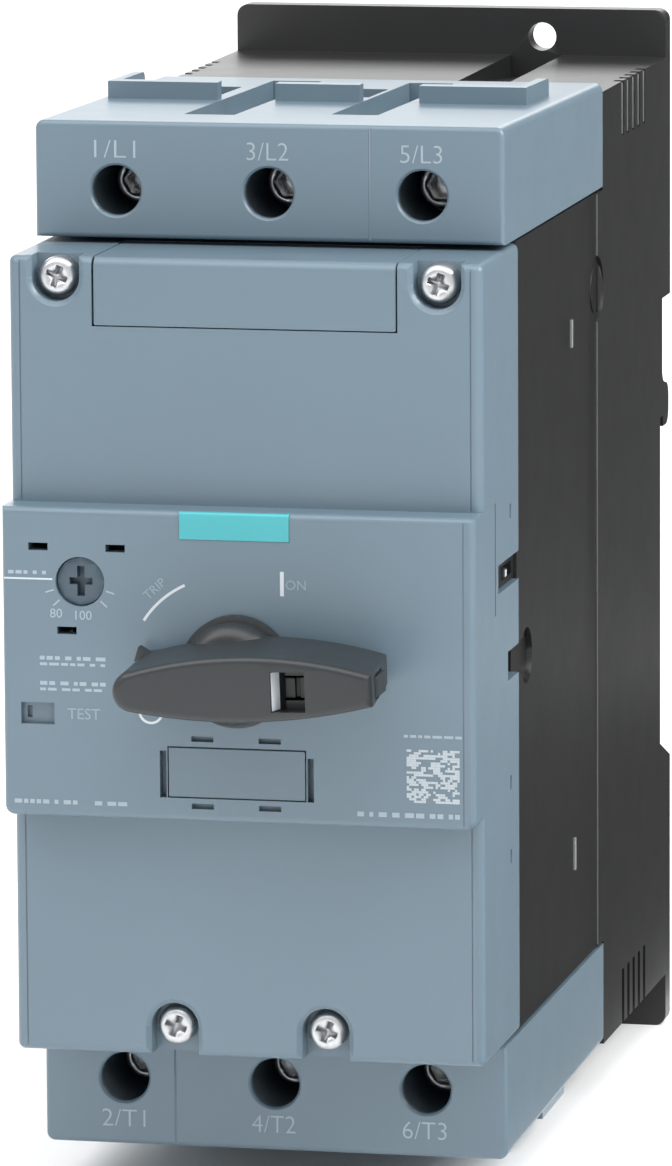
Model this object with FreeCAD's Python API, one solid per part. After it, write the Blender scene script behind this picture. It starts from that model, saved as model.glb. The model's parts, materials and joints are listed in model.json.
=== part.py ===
import FreeCAD, Part
import math
import os

# Three-pole motor protection breaker, 100 A frame size, for a 35 mm rail or two screws.
# Frame: origin on the wall plane at the middle of the rail seat, +X right, +Y into the wall,
# +Z up. The front of the breaker faces -Y. Lengths are in millimetres.

V = FreeCAD.Vector

# ---- driving dimensions -------------------------------------------------------------------
half_w = 35.0
mid_half = 34.7                # the middle housing stands back a little at both sides
height = 165.0
depth = 176.0
wall = 2.4
running = 0.05                 # radial clearance of a turning fit
gap = 0.3                      # clearance between pieces that move past each other
seam = 0.15                    # open joint between two fixed shells

pole_pitch = 22.85
poles = (-pole_pitch, 0.0, pole_pitch)

# depth planes, from the wall (0) towards the front
flange_t = 4.0
block_back = -58.0
housing_split = -62.0
cover_back = -125.0
block_front = -134.9
cover_front = -151.2
panel_front = -157.0
handle_front = -depth

# heights
rear_top, rear_bottom = 75.0, -74.0
mid_top, mid_bottom = 59.9, -57.6
cover_top, cover_bottom = 59.6, -57.8
panel_top, panel_bottom = 23.7, -21.7
block_low, block_high, block_high_rear = 60.4, 77.6, 76.3
block_mirror = 2.4             # a lower-block height is this minus the upper-block height

# rail seat
rail_half = 17.5
recess_floor = -8.8
lip_front, lip_back, lip_low, lip_high = -6.3, -1.4, 16.0, 22.4
finger_top, finger_low, finger_floor = 36.7, 23.4, -7.0     # hollow above the hook
seat_low, seat_low_edge = -35.2, -38.8
hook_round = 2.3

# fixing holes in the flanges
fix_x, fix_z, fix_r = 15.0, 78.0, 2.25

# terminals
screw_z = 67.4
access_r, well_r = 3.7, 4.9     # hole in the front wall, and the wider well behind it
front_wall = 1.6
screw_head_r, screw_shank_r = 3.4, 2.5
screw_head_front, screw_head_back = -120.5, -113.3
entry_half, entry_front, entry_back = 5.1, -89.3, -74.8
chamber_front, chamber_back = -113.0, -70.5
chamber_half, chamber_low, chamber_high = 9.0, 61.6, 71.8
bar_slot_half, bar_slot_low, bar_slot_high = 6.3, 61.5, 63.9
well_rim = 0.35
groove_x, groove_w, groove_depth = 14.95, 0.3, 0.12
tongue_front, tongue_back = -92.0, -89.5

# rotary drive
axis_x, axis_z = 0.0, 0.7
shaft_r = 3.0
handle_tilt = 2.0              # degrees of free play at the OFF position

# cover screws: (x, z, +1 where the recess opens upwards and -1 where it opens downwards)
cover_screw_places = ((-28.1, 56.5, 1), (28.3, 56.5, 1), (-11.3, -53.6, -1), (11.3, -53.6, -1))
cover_recess_r, cover_recess_depth, cover_recess_rim = 3.55, 4.2, 0.7

dial_x, dial_z, dial_r = -23.3, 13.0, 3.5
test_z = -6.5


# ---- helpers ------------------------------------------------------------------------------
def box(x0, x1, y0, y1, z0, z1):
    return Part.makeBox(x1 - x0, y1 - y0, z1 - z0, V(x0, y0, z0))


def rod_y(x, z, r, y0, y1):
    return Part.makeCylinder(r, y1 - y0, V(x, y0, z), V(0, 1, 0))


def rod_x(y, z, r, x0, x1):
    return Part.makeCylinder(r, x1 - x0, V(x0, y, z), V(1, 0, 0))


def rod_z(x, y, r, z0, z1):
    return Part.makeCylinder(r, z1 - z0, V(x, y, z0), V(0, 0, 1))


def slab_yz(points, x0, x1):
    """A prism along X from (y, z) points."""
    face = Part.Face(Part.makePolygon([V(x0, y, z) for y, z in points + points[:1]]))
    return face.extrude(V(x1 - x0, 0, 0))


def slab_xz(points, y0, y1):
    """A prism along Y from (x, z) points."""
    face = Part.Face(Part.makePolygon([V(x, y0, z) for x, z in points + points[:1]]))
    return face.extrude(V(0, y1 - y0, 0))


def slab_xy(points, z0, z1):
    """A prism along Z from (x, y) points."""
    face = Part.Face(Part.makePolygon([V(x, y, z0) for x, y in points + points[:1]]))
    return face.extrude(V(0, 0, z1 - z0))


def fuse(first, *others):
    return first.fuse(list(others)).removeSplitter()


def mirrored(shape):
    """The mirror image of a shape across the middle plane X = 0."""
    return shape.mirror(V(0, 0, 0), V(1, 0, 0))


def round_edges(shape, radius, wanted, along=None):
    """Fillet the straight edges whose two ends satisfy wanted(point), or only those along a vector."""
    chosen = []
    for edge in shape.Edges:
        ends = [vertex.Point for vertex in edge.Vertexes]
        if len(ends) != 2 or not isinstance(edge.Curve, Part.Line) or not all(wanted(p) for p in ends):
            continue
        direction = (ends[1] - ends[0]).normalize()
        if along is None or abs(direction.dot(along)) > 0.99:
            chosen.append(edge)
    return shape.makeFillet(radius, chosen)


def near(a, b):
    return abs(a - b) < 1e-4


def save(name, shape):
    shape.exportStep("parts/" + name + ".step")


def to_lower(shape):
    """Turn an upper-terminal shape half a turn about Y into the lower terminal's place."""
    turned = shape.copy()
    turned.rotate(V(0, 0, block_mirror / 2), V(0, 1, 0), 180)
    return turned


# ---- housings -----------------------------------------------------------------------------
flange_corner = 1.8
cavity_x = half_w - wall
rear_cavity_z = (-69.0, 69.5)
mid_cavity_z = (mid_bottom + wall, mid_top - wall)
partition_x, partition_t = 10.7, 1.4
coupling_window = (-140.0, 10.1, 14.3)
latch_half = 8.0
latch_spring_seat = -50.0


def rear_body():
    """Outer shape of the rear housing with both screw flanges and the rail seat."""
    body = box(-half_w, half_w, block_back, 0, rear_bottom, rear_top)
    collar = box(-half_w, half_w, housing_split, block_back, mid_bottom, mid_top)
    flanges = box(-half_w, half_w, -flange_t, 0, -height / 2, height / 2)
    flanges = round_edges(flanges, flange_corner, lambda p: True, V(0, 1, 0))
    whole = fuse(body, collar, flanges)
    rail_top = rail_half + 0.2
    seat = slab_yz([
        (1, finger_top), (finger_floor, finger_top), (finger_floor, finger_low), (lip_back, lip_high),
        (lip_back, lip_low), (lip_front, lip_low), (lip_front, rail_top), (recess_floor, rail_top),
        (recess_floor, seat_low), (1, seat_low_edge),
    ], -half_w - 1, half_w + 1)
    hook = ((finger_floor, finger_low), (lip_back, lip_high), (lip_back, lip_low))
    seat = round_edges(seat, hook_round,
                       lambda p: any(near(p.y, y) and near(p.z, z) for y, z in hook), V(1, 0, 0))
    return whole.cut(seat)


def rear_trough():
    """Screwdriver trough in the top face, in line with the upper fixing hole."""
    return slab_yz([
        (block_back - 1, rear_top + 1), (block_back - 1, rear_top), (-flange_t, rear_top - 3.6),
        (-flange_t, rear_top + 1),
    ], fix_x - 5.2, fix_x + 3.1)


def side_vents():
    """Five cooling slits in the right side, near the top and again near the bottom."""
    first_y, pitch, opening, length = -42.4, 4.57, 1.9, 8.6
    slits = []
    for i in range(5):
        y = first_y + pitch * i
        slits.append(box(half_w - 1.4, half_w + 1, y, y + opening, rear_top - length, rear_top + 1))
        slits.append(box(half_w - 1.4, half_w + 1, y, y + opening, rear_bottom - 1, rear_bottom + length))
    return slits


def side_ring():
    """Oval witness ring pressed into the side, across the seam of the two housings."""
    y, z, outer, inner = -62.6, 45.1, 5.0, 3.7
    ring = rod_x(y, z, outer, half_w - 0.5, half_w + 1)
    return ring.cut(rod_x(y, z, inner, half_w - 1, half_w + 2))


def make_rear_housing():
    shell = rear_body()
    cavity = box(-cavity_x, cavity_x, block_back, -11.0, *rear_cavity_z)
    mouth = box(-cavity_x, cavity_x, housing_split, block_back, *mid_cavity_z)
    shell = shell.cut([cavity, mouth])
    ribs = []
    for side in (1, -1):
        x0 = min(side * partition_x, side * (partition_x + partition_t))
        ribs.append(box(x0, x0 + partition_t, block_back, -10.5, 9.0, rear_cavity_z[1] + 0.5))
        ribs.append(box(x0, x0 + partition_t, block_back, -10.5, rear_cavity_z[0] - 0.5, -9.0))
    shell = fuse(shell, *ribs)
    tools = [
        rod_y(fix_x, fix_z, fix_r, -flange_t - 1, 1),
        rod_y(-fix_x, -fix_z, fix_r, -flange_t - 1, 1),
        rear_trough(),
        rear_trough().mirror(V(0, 0, 0), V(1, 0, 0)).mirror(V(0, 0, 0.5), V(0, 0, 1)),
        side_ring(),
        mirrored(side_ring()),
        box(-latch_half - gap, latch_half + gap, lip_front - 0.4, 1, -height / 2 - 1, -34.0),
    ]
    for slit in side_vents():
        tools += [slit, mirrored(slit)]
    shell = shell.cut(tools)
    strap = box(-latch_half - 1, latch_half + 1, lip_back - 0.1, 0, -64.0, -58.0)
    spring_stop = box(-1.9, 1.9, lip_front - 1, -2.6, latch_spring_seat - 4, latch_spring_seat)
    return fuse(shell, strap, spring_stop)


def lever_dish():
    """Round dish behind the rear accessory window, with its run-in from the front."""
    dish = rod_x(-117.5, -2.6, 4.2, half_w - 1.2, half_w + 1)
    return dish.fuse(box(half_w - 1.2, half_w + 1, -126, -117.5, -4.4, 0.6))


def coupling_tongue():
    """Black tongue that fills the cover's coupling window, with the slot of the coupling stub."""
    y0, z0, z1 = coupling_window
    tongue = box(30.4, mid_half - 0.5, y0 + gap, cover_back + 1, z0 + 0.2, z1 - 0.2)
    return tongue.cut(box(30, half_w, -133.8, -126.8, z0 + 1.0, z1 - 1.2))


trip_y, trip_z, trip_r = -72.0, -6.0, 1.5
riser_front, riser_back = -68.0, -66.0


def make_mid_housing():
    outer = box(-mid_half, mid_half, cover_back, housing_split - seam, mid_bottom, mid_top)
    shell = outer.cut(box(-cavity_x, cavity_x, cover_back - 1, -60, *mid_cavity_z))
    inner = []
    for side in (1, -1):
        x0 = min(side * partition_x, side * (partition_x + partition_t))
        inner.append(box(x0, x0 + partition_t, -120, housing_split - seam, mid_cavity_z[0] - 1, -9.0))
    for x, z, _ in cover_screw_places:
        inner.append(rod_y(x, z, 4.0, cover_back, -108).common(outer))
    shell = fuse(shell, *inner, coupling_tongue(), mirrored(coupling_tongue()))
    tools = [side_ring(), mirrored(side_ring()), lever_dish(), mirrored(lever_dish())]
    for x, z, _ in cover_screw_places:
        tools.append(rod_y(x, z, 1.75, cover_back - 1, -109))
    for side in (1, -1):
        for y, z0, z1 in ((-82.5, 38.5, 43.1), (-80.5, -42.2, -36.9)):
            slot = box(half_w - 1.0, half_w + 1, y - 0.6, y + 0.6, z0, z1)
            tools.append(slot if side > 0 else mirrored(slot))
    for x in poles:
        tools.append(box(x + 0.7, x + 6.3, riser_front - gap, riser_back + gap, mid_bottom - 1, -54))
    tools.append(rod_x(trip_y, trip_z, trip_r + running, -cavity_x - 1.2, cavity_x + 1.2))
    return shell.cut(tools)


# ---- terminal blocks ----------------------------------------------------------------------
rib_front, rib_back = -98.0, -95.2
rib_spans = ((-33.1, -16.2), (-7.3, 5.6), (14.7, 31.0))
rib_top, rib_root = 79.6, 76.0
rib_return = -80.5              # how far back the outer ribs turn along the sides
return_t = 1.5
channels = ((-15.6, -8.0, -122.0), (5.8, 12.8, -118.5))
channel_floor, channel_back = 72.9, -63.0
block_top_round, block_front_round = 1.3, 0.8


def rib_return_wall(x):
    """Side wall running back from the outer end of a rib, with a rounded rear corner."""
    wall_back = slab_yz([
        (rib_front, rib_root), (rib_front, rib_top), (rib_return, rib_top - 0.3), (rib_return, rib_root),
    ], x, x + return_t)
    return round_edges(wall_back, 1.2, lambda p: near(p.y, rib_return) and p.z > rib_top - 1)


def make_terminal_block():
    """One terminal block in the upper place: three clamp chambers, ribs and deep channels."""
    block = slab_yz([
        (block_front, block_low), (block_front, block_high),
        (block_back - seam, block_high_rear), (block_back - seam, block_low),
    ], -half_w, half_w)
    top_corners = [e for e in block.Edges
                   if e.CenterOfMass.z > block_high_rear - 1 and near(abs(e.CenterOfMass.x), half_w)]
    block = block.makeFillet(block_top_round, top_corners)
    block = round_edges(block, block_front_round, lambda p: near(p.y, block_front))
    additions = [rib_return_wall(rib_spans[0][0]), rib_return_wall(rib_spans[-1][1] - return_t)]
    for x0, x1 in rib_spans:
        additions.append(box(x0, x1, rib_front, rib_back, rib_root, rib_top))
    block = fuse(block, *additions)
    tools = []
    for x in poles:
        tools.append(box(x - chamber_half, x + chamber_half, chamber_front, chamber_back,
                         chamber_low, chamber_high))
        tools.append(rod_y(x, screw_z, access_r, block_front - 1, chamber_front))
        tools.append(rod_y(x, screw_z, well_r, block_front + front_wall, chamber_front + 1))
        tools.append(Part.makeCone(access_r + well_rim, access_r, well_rim,
                                   V(x, block_front - 0.001, screw_z), V(0, 1, 0)))
        tools.append(box(x - entry_half, x + entry_half, entry_front, entry_back,
                         chamber_high - 0.8, block_high + 1.4))
        tools.append(box(x - bar_slot_half, x + bar_slot_half, chamber_back - 1, block_back + 1,
                         bar_slot_low, bar_slot_high))
    for x0, x1, y0 in channels:
        tools.append(box(x0, x1, y0, channel_back, channel_floor, rib_top + 1))
    tools.append(box(groove_x, groove_x + groove_w, block_front - 1, block_front + groove_depth,
                     block_low - 1, block_high + 1))
    return block.cut(tools)


def make_lower_block():
    block = to_lower(make_terminal_block())
    slots = []
    for x in poles:
        slots.append(box(x + 0.7, x + 6.3, riser_front - gap, riser_back + gap, -62, -57))
    return block.cut(slots)


# ---- box terminals ------------------------------------------------------------------------
clamp_z = (64.0, 71.4)
clamp_y = (-104.0, -72.0)


def make_clamp(x):
    """Cage that a terminal screw pulls forward, shutting the conductor against the bar."""
    cage = box(x - 8.5, x + 8.5, *clamp_y, *clamp_z)
    cage = cage.cut(box(x - 7.0, x + 7.0, clamp_y[0] + 4.0, clamp_y[1] - 2.5, 60, 75))
    return cage.cut(rod_y(x, screw_z, screw_shank_r + running, clamp_y[0] - 1, clamp_y[0] + 5))


def make_terminal_screw(x):
    """Cheese-head clamp screw with a hexagon socket."""
    head = rod_y(x, screw_z, screw_head_r, screw_head_front, screw_head_back)
    rim = [e for e in head.Edges
           if isinstance(e.Curve, Part.Circle) and near(e.CenterOfMass.y, screw_head_front)]
    head = head.makeFillet(0.6, rim)
    socket_r, socket_depth = 2.3, 3.5
    hexagon = []
    for i in range(6):
        a = math.radians(60 * i)
        hexagon.append((x + socket_r * math.cos(a), screw_z + socket_r * math.sin(a)))
    head = head.cut(slab_xz(hexagon, screw_head_front - 1, screw_head_front + socket_depth))
    shank = rod_y(x, screw_z, screw_shank_r, screw_head_back - 0.5, tongue_front - gap)
    return fuse(head, shank)


def make_line_bar(x):
    """Copper from the clamp tongue to the upper fixed contact."""
    tongue = box(x - 6, x + 6, tongue_front, tongue_back, 61.9, 71.2)
    run = box(x - 6, x + 6, tongue_back, -22, 61.9, 63.6)
    drop = box(x - 6, x + 6, -24, -22, 8.0, 62.5)
    contact = rod_y(x, 12.0, 3.2, -25.5, -23.5)
    return fuse(tongue, run, drop, contact)


def make_load_terminal_bar(x):
    """Copper from the lower clamp tongue up to the bimetal."""
    low, high = block_mirror - 71.2, block_mirror - 61.9
    tongue = box(x - 6, x + 6, tongue_front, tongue_back, low, high)
    run = box(x - 6, x + 6, tongue_back, riser_back, block_mirror - 63.6, high)
    riser = box(x + 1, x + 6, riser_front, riser_back, high - 1, -38.0)
    return fuse(tongue, run, riser)


def make_load_bar(x):
    """Copper from the lower fixed contact forward under the trip coil and up to its front end."""
    contact = rod_y(x, -12.0, 3.2, -25.5, -23.5)
    drop = box(x - 6, x + 6, -24, -22, -54.8, -8.0)
    run = box(x - 6, x - 1, -112, -22, -54.8, -53.0)
    rise = box(x - 6, x - 1, -112, -110.4, -54.0, -36.0)
    return fuse(contact, drop, run, rise)


# ---- contact system -----------------------------------------------------------------------
bridge_front = -33.5


def make_carrier():
    """Insulating bar that carries the three moving contact bridges."""
    bar = box(-31, 31, -52, -42, -4.3, 5.7)
    drive = box(axis_x - 4, axis_x + 4, -100, -51, axis_z - 4, axis_z + 4)
    fingers = []
    windows = []
    for x in poles:
        fingers.append(box(x - 5.5, x + 5.5, -44, -29.5, -6, 6))
        windows.append(box(x - 3.7, x + 3.7, -41, bridge_front + 2, -7, 7))
    return fuse(bar, drive, *fingers).cut(windows)


def make_bridge(x):
    bar = box(x - 3.5, x + 3.5, bridge_front, bridge_front + 2, -16, 16)
    pads = [rod_y(x, z, 2.8, bridge_front + 1.5, bridge_front + 3.5) for z in (-12, 12)]
    return fuse(bar, *pads)


def make_coil_spring(x, y, z, direction, length, turns, mean_r, wire):
    """Closed-end look is left out: a plain helix of round wire along the given direction."""
    helix = Part.makeHelix(length / turns, length, mean_r)
    start = helix.Edges[0].valueAt(helix.Edges[0].FirstParameter)
    tangent = helix.Edges[0].tangentAt(helix.Edges[0].FirstParameter)
    section = Part.Wire(Part.makeCircle(wire / 2, start, tangent))
    spring = Part.Wire(helix).makePipeShell([section], True, True)
    spring.Placement = FreeCAD.Placement(V(x, y, z), FreeCAD.Rotation(V(0, 0, 1), direction))
    return spring


def make_contact_springs():
    springs = []
    for x in poles:
        springs.append(make_coil_spring(x, -40.6, 0, V(0, 1, 0), 6.7, 4, 2.4, 0.7))
    return Part.makeCompound(springs)


def make_arc_chute(x):
    """Splitter plates above and below one pole's contacts, each with a notch for the arc."""
    plates = []
    for i in range(9):
        plates.append(box(x - 8, x + 8, -55, -28, 20 + 4 * i, 21.2 + 4 * i))
    for i in range(8):
        plates.append(box(x - 8, x + 8, -55, -28, -50.2 + 4 * i, -49 + 4 * i))
    notched = []
    for plate in plates:
        z0 = plate.BoundBox.ZMin
        notch = Part.Face(Part.makePolygon([
            V(x - 4, -27, z0 - 1), V(x + 4, -27, z0 - 1), V(x, -42, z0 - 1), V(x - 4, -27, z0 - 1),
        ]))
        notched.append(plate.cut(notch.extrude(V(0, 0, 4))))
    return Part.makeCompound(notched)


# ---- trip unit ----------------------------------------------------------------------------
coil_z = -36.0
coil_y = (-106.0, -74.5)


def make_trip_coil(x):
    """Wound copper: a tube whose outside is a row of round turns."""
    turns = 10
    pitch = (coil_y[1] - coil_y[0]) / turns
    edges = []
    for i in range(turns):
        y = coil_y[0] + pitch * i
        edges.append(Part.Arc(V(x, y, coil_z + 6.6), V(x, y + pitch / 2, coil_z + 8.0),
                              V(x, y + pitch, coil_z + 6.6)).toShape())
    inner = coil_z + 5.2
    edges.append(Part.makeLine(V(x, coil_y[1], coil_z + 6.6), V(x, coil_y[1], inner)))
    edges.append(Part.makeLine(V(x, coil_y[1], inner), V(x, coil_y[0], inner)))
    edges.append(Part.makeLine(V(x, coil_y[0], inner), V(x, coil_y[0], coil_z + 6.6)))
    face = Part.Face(Part.Wire(edges))
    return face.revolve(V(x, 0, coil_z), V(0, 1, 0), 360)


def make_magnet_cores():
    """Iron sleeve inside each coil with the yoke plate at its front."""
    cores = []
    for x in poles:
        sleeve = rod_y(x, coil_z, 5.0, coil_y[0] - 1.5, coil_y[1] + 1)
        sleeve = sleeve.cut(rod_y(x, coil_z, 2.6, coil_y[0], coil_y[1] + 2))
        yoke = box(x - 8, x + 8, coil_y[0] - 3.5, coil_y[0] - 1.5, coil_z - 8, coil_z + 10)
        cores.append(fuse(sleeve, yoke))
    return Part.makeCompound(cores)


def make_plunger(x):
    rod = rod_y(x, coil_z, 2.55, coil_y[0] + 8, coil_y[1] + 0.5)
    return fuse(rod, rod_y(x, coil_z, 1.2, coil_y[1], coil_y[1] + 1.6))


def make_bimetals():
    strips = [box(x + 1.2, x + 5.8, riser_front, riser_front + 1.2, -38.0, -11.0) for x in poles]
    return Part.makeCompound(strips)


def make_trip_bar():
    """Shaft across the three poles with one striker arm behind each magnet and bimetal."""
    shaft = rod_x(trip_y, trip_z, trip_r, -cavity_x - 0.9, cavity_x + 0.9)
    arms = []
    for x in poles:
        arms.append(box(x - 5.0, x + 0.4, trip_y + 1.2, trip_y + 2.6, coil_z - 3, trip_z))
        arms.append(box(x - 5.0, x + 0.4, trip_y - 0.5, trip_y + 2.6, trip_z - 1.2, trip_z + 1.2))
    return fuse(shaft, *arms)


def make_mechanism_frame():
    """Steel bracket that carries the inner end of the handle shaft."""
    front = box(-cavity_x + 0.1, cavity_x - 0.1, -118, -116.4, -5.5, 45)
    sides = [box(13.0, 14.5, -118, -82.5, -5.5, 34), box(-14.5, -13.0, -118, -82.5, -5.5, 34)]
    back = box(-14.5, 14.5, -84, -82.5, -5.5, 34)
    frame = fuse(front, back, *sides)
    window = box(axis_x - 4.6, axis_x + 4.6, -85, -82, axis_z - 4.6, axis_z + 4.6)
    bore = rod_y(axis_x, axis_z, shaft_r + running, -119, -116)
    return frame.cut([window, bore])


# ---- front cover --------------------------------------------------------------------------
flap_half, flap_low, flap_back = 22.6, 49.5, -131.0
badge = (-8.5, 7.8, 19.6, panel_top)
legend = (-10.5, 10.1, -18.3, -10.7)
seal_slots = ((-29.5, 18.0), (-18.0, 18.0), (-25.3, 5.8))
legend_slits = (-5.3, 4.7)
test_window = (-32.3, -27.3, -8.1, -4.9)
test_plate = (-33.2, -24.6, -155.8, -154.4)    # x from, x to, front and back of the test slide
lever_window = (-133.0, -3.8, 0.5)


def cover_outer():
    main = box(-half_w, half_w, cover_front, cover_back, cover_bottom, cover_top)
    main = round_edges(main, 1.0, lambda p: True, V(0, 1, 0))
    main = round_edges(main, 1.3, lambda p: near(p.y, cover_front))
    panel = box(-half_w, half_w, panel_front, cover_front + 2, panel_bottom, panel_top)
    panel = round_edges(panel, 1.4, lambda p: near(p.z, panel_bottom), V(0, 1, 0))
    panel = round_edges(panel, 1.0, lambda p: near(p.y, panel_front))
    return fuse(main, panel)


def cover_cavity():
    main = box(-cavity_x, cavity_x, cover_front + wall, cover_back + 1,
               cover_bottom + wall, cover_top - wall)
    return fuse(main, box(-cavity_x, cavity_x, panel_front + wall, cover_front + wall + 1,
                          panel_bottom + wall, panel_top - wall))


def screw_recess(x, z, way):
    """Round pocket for a screw head with a bevelled rim, open to the nearest edge of the cover."""
    r, rim = cover_recess_r, cover_recess_rim
    y0, y1 = cover_front - 1, cover_front + cover_recess_depth
    low, high = (z, cover_top + 1) if way > 0 else (cover_bottom - 1, z)
    pocket = rod_y(x, z, r, y0, y1)
    channel = box(x - r, x + r, y0, y1, low, high)
    round_rim = Part.makeCone(r + rim, r, rim, V(x, cover_front - 0.001, z), V(0, 1, 0))
    straight_rim = slab_xy([
        (x - r - rim, cover_front - 1), (x - r - rim, cover_front), (x - r, cover_front + rim),
        (x + r, cover_front + rim), (x + r + rim, cover_front), (x + r + rim, cover_front - 1),
    ], low, high)
    return pocket.fuse([channel, round_rim, straight_rim])


def panel_cuts():
    """Everything sunk into the raised control panel."""
    y0 = panel_front - 1
    x0, x1, z0, z1 = legend
    cuts = [
        box(badge[0], badge[1], y0, panel_front + 0.7, badge[2], badge[3] + 1),
        box(x0, x1, y0, panel_front + 0.7, z0, z1),
        box(x0 - 1.15, x0 - 0.15, y0, panel_front + 1.9, z0, z1 - 0.7),
        box(x1 + 0.15, x1 + 1.1, y0, panel_front + 1.9, z0, z1 - 1.2),
        rod_y(dial_x, dial_z, dial_r + 0.15, y0, panel_front + wall + 1),
        box(test_window[0], test_window[1], y0, panel_front + wall + 1, test_window[2], test_window[3]),
        box(test_plate[0] - gap, test_plate[1] + 2.4, test_plate[2] - 0.1, panel_front + wall + 1,
            test_z - 3.1, test_z + 3.1),
    ]
    for x, z in seal_slots:
        cuts.append(box(x - 1.45, x + 1.45, y0, panel_front + wall + 1, z - 0.55, z + 0.55))
    for x in legend_slits:
        for z in (z1 + 1.15, z0 - 1.15):
            cuts.append(box(x - 1.65, x + 1.65, y0, panel_front + 1.2, z - 0.4, z + 0.4))
    return cuts


def edge_lines():
    """Fine mould lines just inside both side edges of the cover, and of the panel's right edge."""
    cuts = [box(33.2, 33.4, panel_front - 1, panel_front + 0.1, panel_bottom - 1, panel_top + 1)]
    for x in (33.2, -33.4):
        for z0, z1 in ((panel_top + 0.3, cover_top + 1), (cover_bottom - 1, panel_bottom - 0.3)):
            cuts.append(box(x, x + 0.2, cover_front - 1, cover_front + 0.15, z0, z1))
    return cuts


def side_cuts():
    """Accessory windows and snap marks in the right side of the cover."""
    x0, x1 = cavity_x - 1, half_w + 1
    cuts = [
        box(x0, x1, coupling_window[0], cover_back + 1, coupling_window[1], coupling_window[2]),
        box(x0, x1, lever_window[0], cover_back + 1, lever_window[1], lever_window[2]),
        box(half_w - 0.5, x1, -142.5, -141.8, 7.2, 23.8),
    ]
    for z in (21.0, -19.3, -30.3):
        cuts.append(box(half_w - 0.7, x1, -131.6, -130.4, z - 1.1, z + 1.1))
    return cuts


def make_front_cover():
    outer = cover_outer()
    shell = outer.cut(cover_cavity())
    bosses = [rod_y(x, z, 5.6, cover_front + 1, cover_back).common(outer)
              for x, z, _ in cover_screw_places]
    bosses.append(rod_y(axis_x, axis_z, 6.0, panel_front + 1, -147))
    shell = fuse(shell, *bosses)
    tools = [
        box(-flap_half, flap_half, cover_front - 1, flap_back, cover_top - wall - 0.1, cover_top + 1),
        box(-flap_half, flap_half, cover_front - 1, cover_front + wall, flap_low, cover_top + 1),
        rod_y(axis_x, axis_z, shaft_r + running, panel_front - 1, -146),
    ]
    for x, z, way in cover_screw_places:
        tools.append(screw_recess(x, z, way))
        tools.append(rod_y(x, z, 1.9, cover_front, cover_back + 1))
    for cut in side_cuts():
        tools += [cut, mirrored(cut)]
    return shell.cut(tools + panel_cuts() + edge_lines())


def make_accessory_flap():
    """Snap-in cover of the auxiliary switch bay, wrapping over the cover's top edge."""
    x = flap_half - 0.25
    front = box(-x, x, cover_front + 0.1, cover_front + wall, flap_low + seam, cover_top - 0.05)
    top = box(-x, x, cover_front + 1, flap_back - seam, cover_top - wall + seam, cover_top - 0.05)
    flap = fuse(front, top)
    edge = [e for e in flap.Edges
            if near(e.CenterOfMass.y, cover_front + 0.1) and near(e.CenterOfMass.z, cover_top - 0.05)]
    return flap.makeFillet(1.4, edge)


def make_badge_plate():
    """Coloured plate in the panel's upper edge, its top front corner rounded like the panel."""
    x0, x1, z0, z1 = badge
    plate = box(x0 + 0.05, x1 - 0.05, panel_front - 0.1, panel_front + 0.7, z0 + 0.05, z1 - 0.05)
    return round_edges(plate, 0.5, lambda p: near(p.y, panel_front - 0.1) and near(p.z, z1 - 0.05))


def make_legend_plate():
    x0, x1, z0, z1 = legend
    return box(x0 + 0.2, x1 - 0.2, panel_front - 0.05, panel_front + 0.7, z0 + 0.2, z1 - 0.2)


def make_cover_screws():
    """Four pan-head screws with crossed and slotted drive."""
    head_front = cover_front + 1.2
    seat = cover_front + cover_recess_depth
    screws = []
    for x, z, _ in cover_screw_places:
        head = rod_y(x, z, 2.85, head_front, seat)
        rim = [e for e in head.Edges
               if isinstance(e.Curve, Part.Circle) and near(e.CenterOfMass.y, head_front)]
        head = head.makeFillet(1.1, rim)
        drive = [
            box(x - 0.35, x + 0.35, head_front - 1, head_front + 1.3, z - 1.6, z + 1.6),
            box(x - 1.6, x + 1.6, head_front - 1, head_front + 1.3, z - 0.35, z + 0.35),
        ]
        for tool in drive:
            tool.rotate(V(x, 0, z), V(0, 1, 0), 20)
        screws.append(fuse(head, rod_y(x, z, 1.7, seat - 1, -110)).cut(drive))
    return Part.makeCompound(screws)


# ---- controls -----------------------------------------------------------------------------
hub_r, dome_r = 8.2, 7.5
grip_back = -160.2
grip_nose, grip_end = 14.1, 23.9
lock_recess = (9.2, 14.2)
recess_back = -172.2


def tilted(shape):
    """Turn a handle piece from true horizontal into the OFF rest position."""
    turned = shape.copy()
    turned.rotate(V(axis_x, 0, axis_z), V(0, 1, 0), -handle_tilt)
    return turned


def grip_section(y, grow, end_x, end_low):
    """Lens-shaped outline of the grip at one depth, with its square right-hand end."""
    x0, z0, left, end_high = axis_x, axis_z, grip_nose - 2.6, 2.3
    top = Part.Arc(V(x0 - left, y, z0 + 2.9 + grow), V(x0 + 1.0, y, z0 + 4.9 + grow),
                   V(x0 + end_x, y, z0 + end_high + grow)).toShape()
    low = Part.Arc(V(x0 + end_x, y, z0 - end_low), V(x0 + 2.0, y, z0 - 4.4 - grow),
                   V(x0 - left, y, z0 - 2.9 - grow)).toShape()
    end = Part.makeLine(V(x0 + end_x, y, z0 + end_high + grow), V(x0 + end_x, y, z0 - end_low))
    nose = Part.Arc(V(x0 - left, y, z0 - 2.9 - grow), V(x0 - grip_nose - grow, y, z0),
                    V(x0 - left, y, z0 + 2.9 + grow)).toShape()
    return Part.Wire([top, end, low, nose])


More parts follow.
